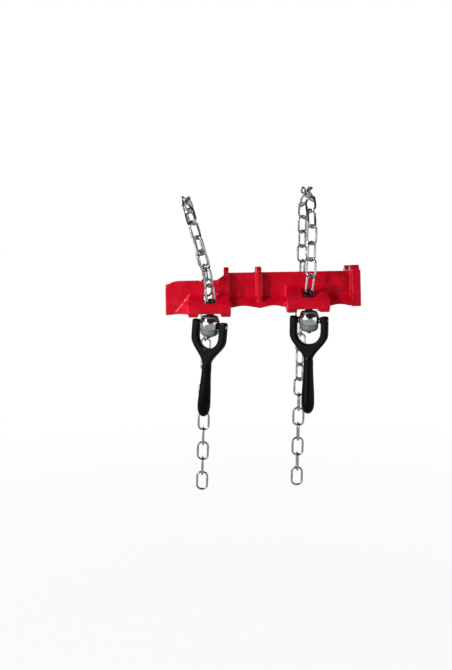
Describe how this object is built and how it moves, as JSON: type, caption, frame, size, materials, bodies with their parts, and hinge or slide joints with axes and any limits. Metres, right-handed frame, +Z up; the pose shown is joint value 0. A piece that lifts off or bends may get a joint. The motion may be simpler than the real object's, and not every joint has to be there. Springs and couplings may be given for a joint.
{
  "type": "pipe welding vise",
  "caption": "Cast saddle base that holds a pipe for welding, with a chain clamp at each side, tightened by a fork handle on a trunnion nut.",
  "frame": {"origin": "lowest line of the held pipe, halfway along the base and midway between its walls", "axes": "+X along the pipe, -Y the side with the handles, +Z up"},
  "size_m": [0.43, 0.2159, 0.7136],
  "materials": {
    "red_enamel": "glossy red enamel over rough cast iron",
    "zinc_steel": "bright zinc plated steel",
    "black_oxide": "black oxide on steel",
    "black_enamel": "glossy black enamel over cast iron"
  },
  "bodies": {
    "base": {"base_casting": "red_enamel", "left_hook_link": "zinc_steel", "left_loop_far_lower": "zinc_steel", "left_loop_far_upper": "zinc_steel", "left_loop_link_01": "zinc_steel", "left_loop_link_02": "zinc_steel", "left_loop_link_03": "zinc_steel", "left_loop_link_04": "zinc_steel", "left_loop_link_05": "zinc_steel", "left_loop_link_06": "zinc_steel", "left_loop_link_07": "zinc_steel", "left_loop_link_08": "zinc_steel", "left_loop_link_09": "zinc_steel", "left_thrust_washer": "black_oxide", "right_hook_link": "zinc_steel", "right_loop_far_lower": "zinc_steel", "right_loop_far_upper": "zinc_steel", "right_loop_link_01": "zinc_steel", "right_loop_link_02": "zinc_steel", "right_loop_link_03": "zinc_steel", "right_loop_link_04": "zinc_steel", "right_loop_link_05": "zinc_steel", "right_loop_link_06": "zinc_steel", "right_loop_link_07": "zinc_steel", "right_loop_link_08": "zinc_steel", "right_loop_link_09": "zinc_steel", "right_thrust_washer": "black_oxide"},
    "left_screw": {"left_chain_screw": "black_oxide", "left_anchor_link": "zinc_steel"},
    "left_nut": {"left_clamp_nut": "zinc_steel", "left_trunnion_pin_high_x": "zinc_steel", "left_trunnion_pin_low_x": "zinc_steel"},
    "left_handle": {"left_fork_handle": "black_enamel"},
    "left_tail_top": {"left_tail_upper": "zinc_steel"},
    "left_tail_middle": {"left_tail_link_05": "zinc_steel", "left_tail_link_06": "zinc_steel", "left_tail_link_07": "zinc_steel", "left_tail_link_08": "zinc_steel"},
    "left_tail_bottom": {"left_tail_link_09": "zinc_steel", "left_tail_link_10": "zinc_steel", "left_tail_link_11": "zinc_steel", "left_tail_link_12": "zinc_steel"},
    "right_screw": {"right_chain_screw": "black_oxide", "right_anchor_link": "zinc_steel"},
    "right_nut": {"right_clamp_nut": "zinc_steel", "right_trunnion_pin_high_x": "zinc_steel", "right_trunnion_pin_low_x": "zinc_steel"},
    "right_handle": {"right_fork_handle": "black_enamel"},
    "right_tail_top": {"right_tail_upper": "zinc_steel"},
    "right_tail_middle": {"right_tail_link_05": "zinc_steel", "right_tail_link_06": "zinc_steel", "right_tail_link_07": "zinc_steel", "right_tail_link_08": "zinc_steel"},
    "right_tail_bottom": {"right_tail_link_09": "zinc_steel", "right_tail_link_10": "zinc_steel", "right_tail_link_11": "zinc_steel", "right_tail_link_12": "zinc_steel"}
  },
  "joints": [
    {"name": "left_nut_turn", "type": "hinge", "parent": "base", "child": "left_nut", "pos_m": [-0.11817, -0.07492, -0.11735], "axis": [0.068, -0.1252, 0.9898], "range_deg": [-2880, 0]},
    {"name": "left_screw_feed", "type": "slide", "parent": "base", "child": "left_screw", "axis": [0.068, -0.1252, 0.9898], "range_m": [0, 0.016]},
    {"name": "left_handle_swing", "type": "hinge", "parent": "left_nut", "child": "left_handle", "pos_m": [-0.11817, -0.07492, -0.11735], "axis": [0.864, -0.4887, -0.1212], "range_deg": [-90, 30]},
    {"name": "left_tail_top_sway", "type": "hinge", "parent": "base", "child": "left_tail_top", "pos_m": [-0.12886, 0.07811, -0.08941], "axis": [0.999, 0, -0.0454], "range_deg": [-20, 20]},
    {"name": "left_tail_middle_sway", "type": "hinge", "parent": "left_tail_top", "child": "left_tail_middle", "pos_m": [-0.13532, 0.07811, -0.23166], "axis": [0.4995, -0.866, -0.0227], "range_deg": [-35, 35]},
    {"name": "left_tail_bottom_sway", "type": "hinge", "parent": "left_tail_middle", "child": "left_tail_bottom", "pos_m": [-0.14178, 0.07811, -0.37392], "axis": [0, -1, 0], "range_deg": [-35, 35]},
    {"name": "right_nut_turn", "type": "hinge", "parent": "base", "child": "right_nut", "pos_m": [0.098, -0.07538, -0.11096], "axis": [0, -0.1065, 0.9943], "range_deg": [-2880, 0]},
    {"name": "right_screw_feed", "type": "slide", "parent": "base", "child": "right_screw", "axis": [0, -0.1065, 0.9943], "range_m": [0, 0.016]},
    {"name": "right_handle_swing", "type": "hinge", "parent": "right_nut", "child": "right_handle", "pos_m": [0.098, -0.07538, -0.11096], "axis": [0.9511, -0.3073, -0.0329], "range_deg": [-90, 30]},
    {"name": "right_tail_top_sway", "type": "hinge", "parent": "base", "child": "right_tail_top", "pos_m": [0.09813, 0.07809, -0.08291], "axis": [0.999, 0, -0.0454], "range_deg": [-20, 20]},
    {"name": "right_tail_middle_sway", "type": "hinge", "parent": "right_tail_top", "child": "right_tail_middle", "pos_m": [0.09166, 0.07809, -0.22516], "axis": [0.4995, -0.866, -0.0227], "range_deg": [-35, 35]},
    {"name": "right_tail_bottom_sway", "type": "hinge", "parent": "right_tail_middle", "child": "right_tail_bottom", "pos_m": [0.08521, 0.07809, -0.36741], "axis": [0, -1, 0], "range_deg": [-35, 35]}
  ],
  "couplings": [
    {"joint": "left_screw_feed", "follows": "left_nut_turn", "m_per_rad": -0.00031831},
    {"joint": "right_screw_feed", "follows": "right_nut_turn", "m_per_rad": -0.00031831}
  ]
}
